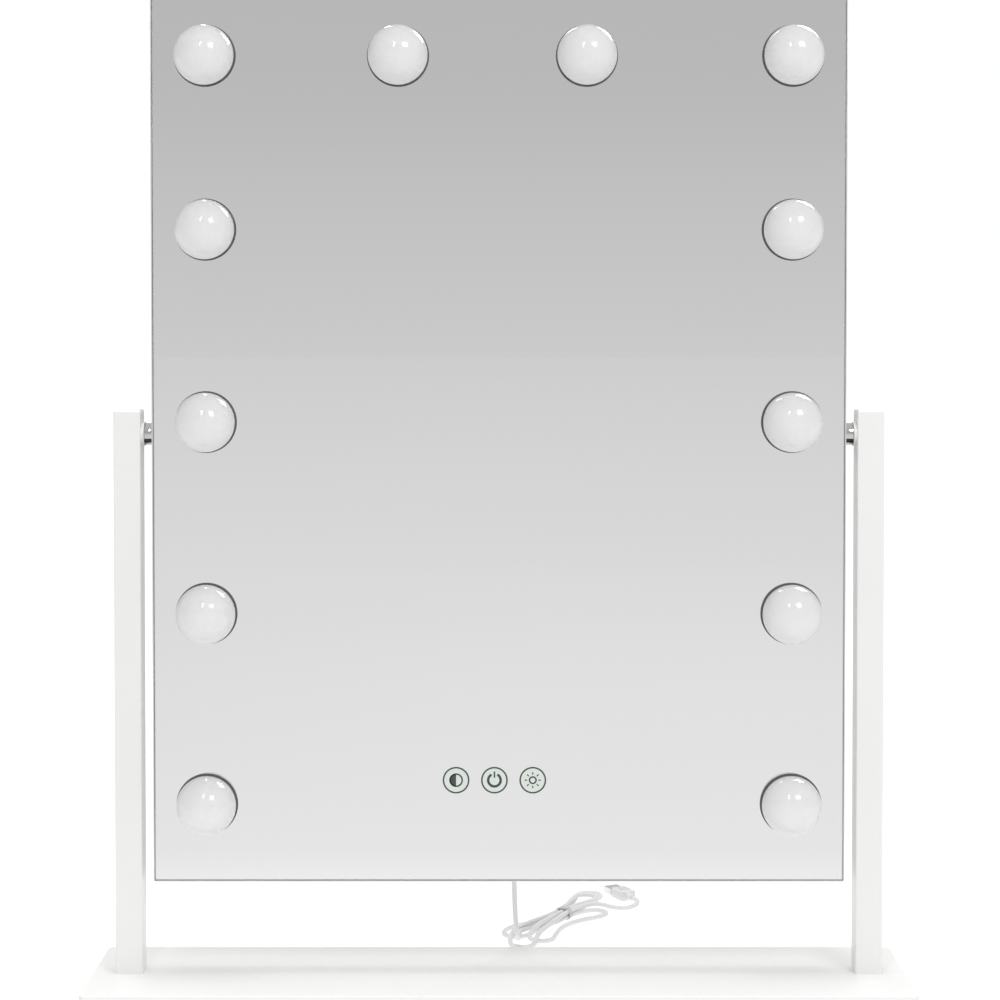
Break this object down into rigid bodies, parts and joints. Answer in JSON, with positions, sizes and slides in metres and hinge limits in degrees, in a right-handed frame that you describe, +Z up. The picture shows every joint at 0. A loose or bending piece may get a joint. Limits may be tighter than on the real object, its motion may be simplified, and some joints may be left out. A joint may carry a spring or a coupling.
{
  "type": "tabletop lighted mirror",
  "caption": "Frameless mirror with dome lamps round its edge, tilting on pivots between two square posts on a flat base; powered by a lead with a plug.",
  "frame": {"origin": "centre of the base plate's outline, on the table top under the rubber feet", "axes": "+X to the user's right, +Y away from the user, +Z up; the mirror faces -Y"},
  "size_m": [0.544, 0.3064, 0.672],
  "materials": {
    "white_enamel": "satin powder coat",
    "white_plastic": "smooth moulded",
    "steel": "zinc plated",
    "screw_zinc": "zinc plated",
    "foot_rubber": "matte",
    "nylon": "moulded nylon",
    "chrome": "polished",
    "frame_metal": "fine satin",
    "mirror": "silvered glass with a polished edge",
    "foam_tape": "closed-cell foam",
    "back_plastic": "fine texture",
    "milky_dome": "milky, glossy",
    "seal_rubber": "matte",
    "board_white": "white solder mask",
    "board_green": "green solder mask",
    "copper_pad": "tinned copper",
    "wire_sheath": "smooth sheath",
    "black_plastic": "moulded",
    "cord_white": "soft satin sheath",
    "tie_white": "soft band",
    "plug_metal": "nickel plated"
  },
  "bodies": {
    "stand": {"base_plate": "white_enamel", "rubber_feet": "foot_rubber", "left_post": "white_enamel", "right_post": "white_enamel", "left_post_cap": "white_plastic", "right_post_cap": "white_plastic", "left_foot_block": "steel", "right_foot_block": "steel", "foot_screws": "steel", "pivot_washers": "nylon", "pivot_bushes": "nylon", "post_hole_plugs": "white_plastic", "cord_drop": "cord_white", "cord_lead": "cord_white", "cord_hank": "cord_white", "cord_tie": "tie_white", "usb_plug_body": "cord_white", "usb_plug_shell": "plug_metal"},
    "mirror_head": {"back_panel": "back_plastic", "back_panel_screws": "screw_zinc", "board_pillars": "nylon", "bracket_screws": "steel", "control_board": "board_green", "disc_springs": "steel", "elbow_plug": "cord_white", "glass_tape": "foam_tape", "head_frame": "frame_metal", "lamp_dome_01": "milky_dome", "lamp_dome_02": "milky_dome", "lamp_dome_03": "milky_dome", "lamp_dome_04": "milky_dome", "lamp_dome_05": "milky_dome", "lamp_dome_06": "milky_dome", "lamp_dome_07": "milky_dome", "lamp_dome_08": "milky_dome", "lamp_dome_09": "milky_dome", "lamp_dome_10": "milky_dome", "lamp_dome_11": "milky_dome", "lamp_dome_12": "milky_dome", "lamp_holders": "white_plastic", "lamp_screws": "screw_zinc", "lamp_seals": "seal_rubber", "led_boards": "board_white", "left_collar": "chrome", "left_pivot_bracket": "steel", "left_pivot_shaft": "steel", "lock_nuts": "steel", "mirror_glass": "mirror", "right_collar": "chrome", "right_pivot_bracket": "steel", "right_pivot_shaft": "steel", "supply_socket": "black_plastic", "touch_pads": "copper_pad", "wiring_loom": "wire_sheath"}
  },
  "joints": [
    {"name": "mirror_tilt", "type": "hinge", "parent": "stand", "child": "mirror_head", "pos_m": [0, 0, 0.37], "axis": [-1, 0, 0], "range_deg": [-30, 30], "deforming": ["cord_drop"]}
  ]
}
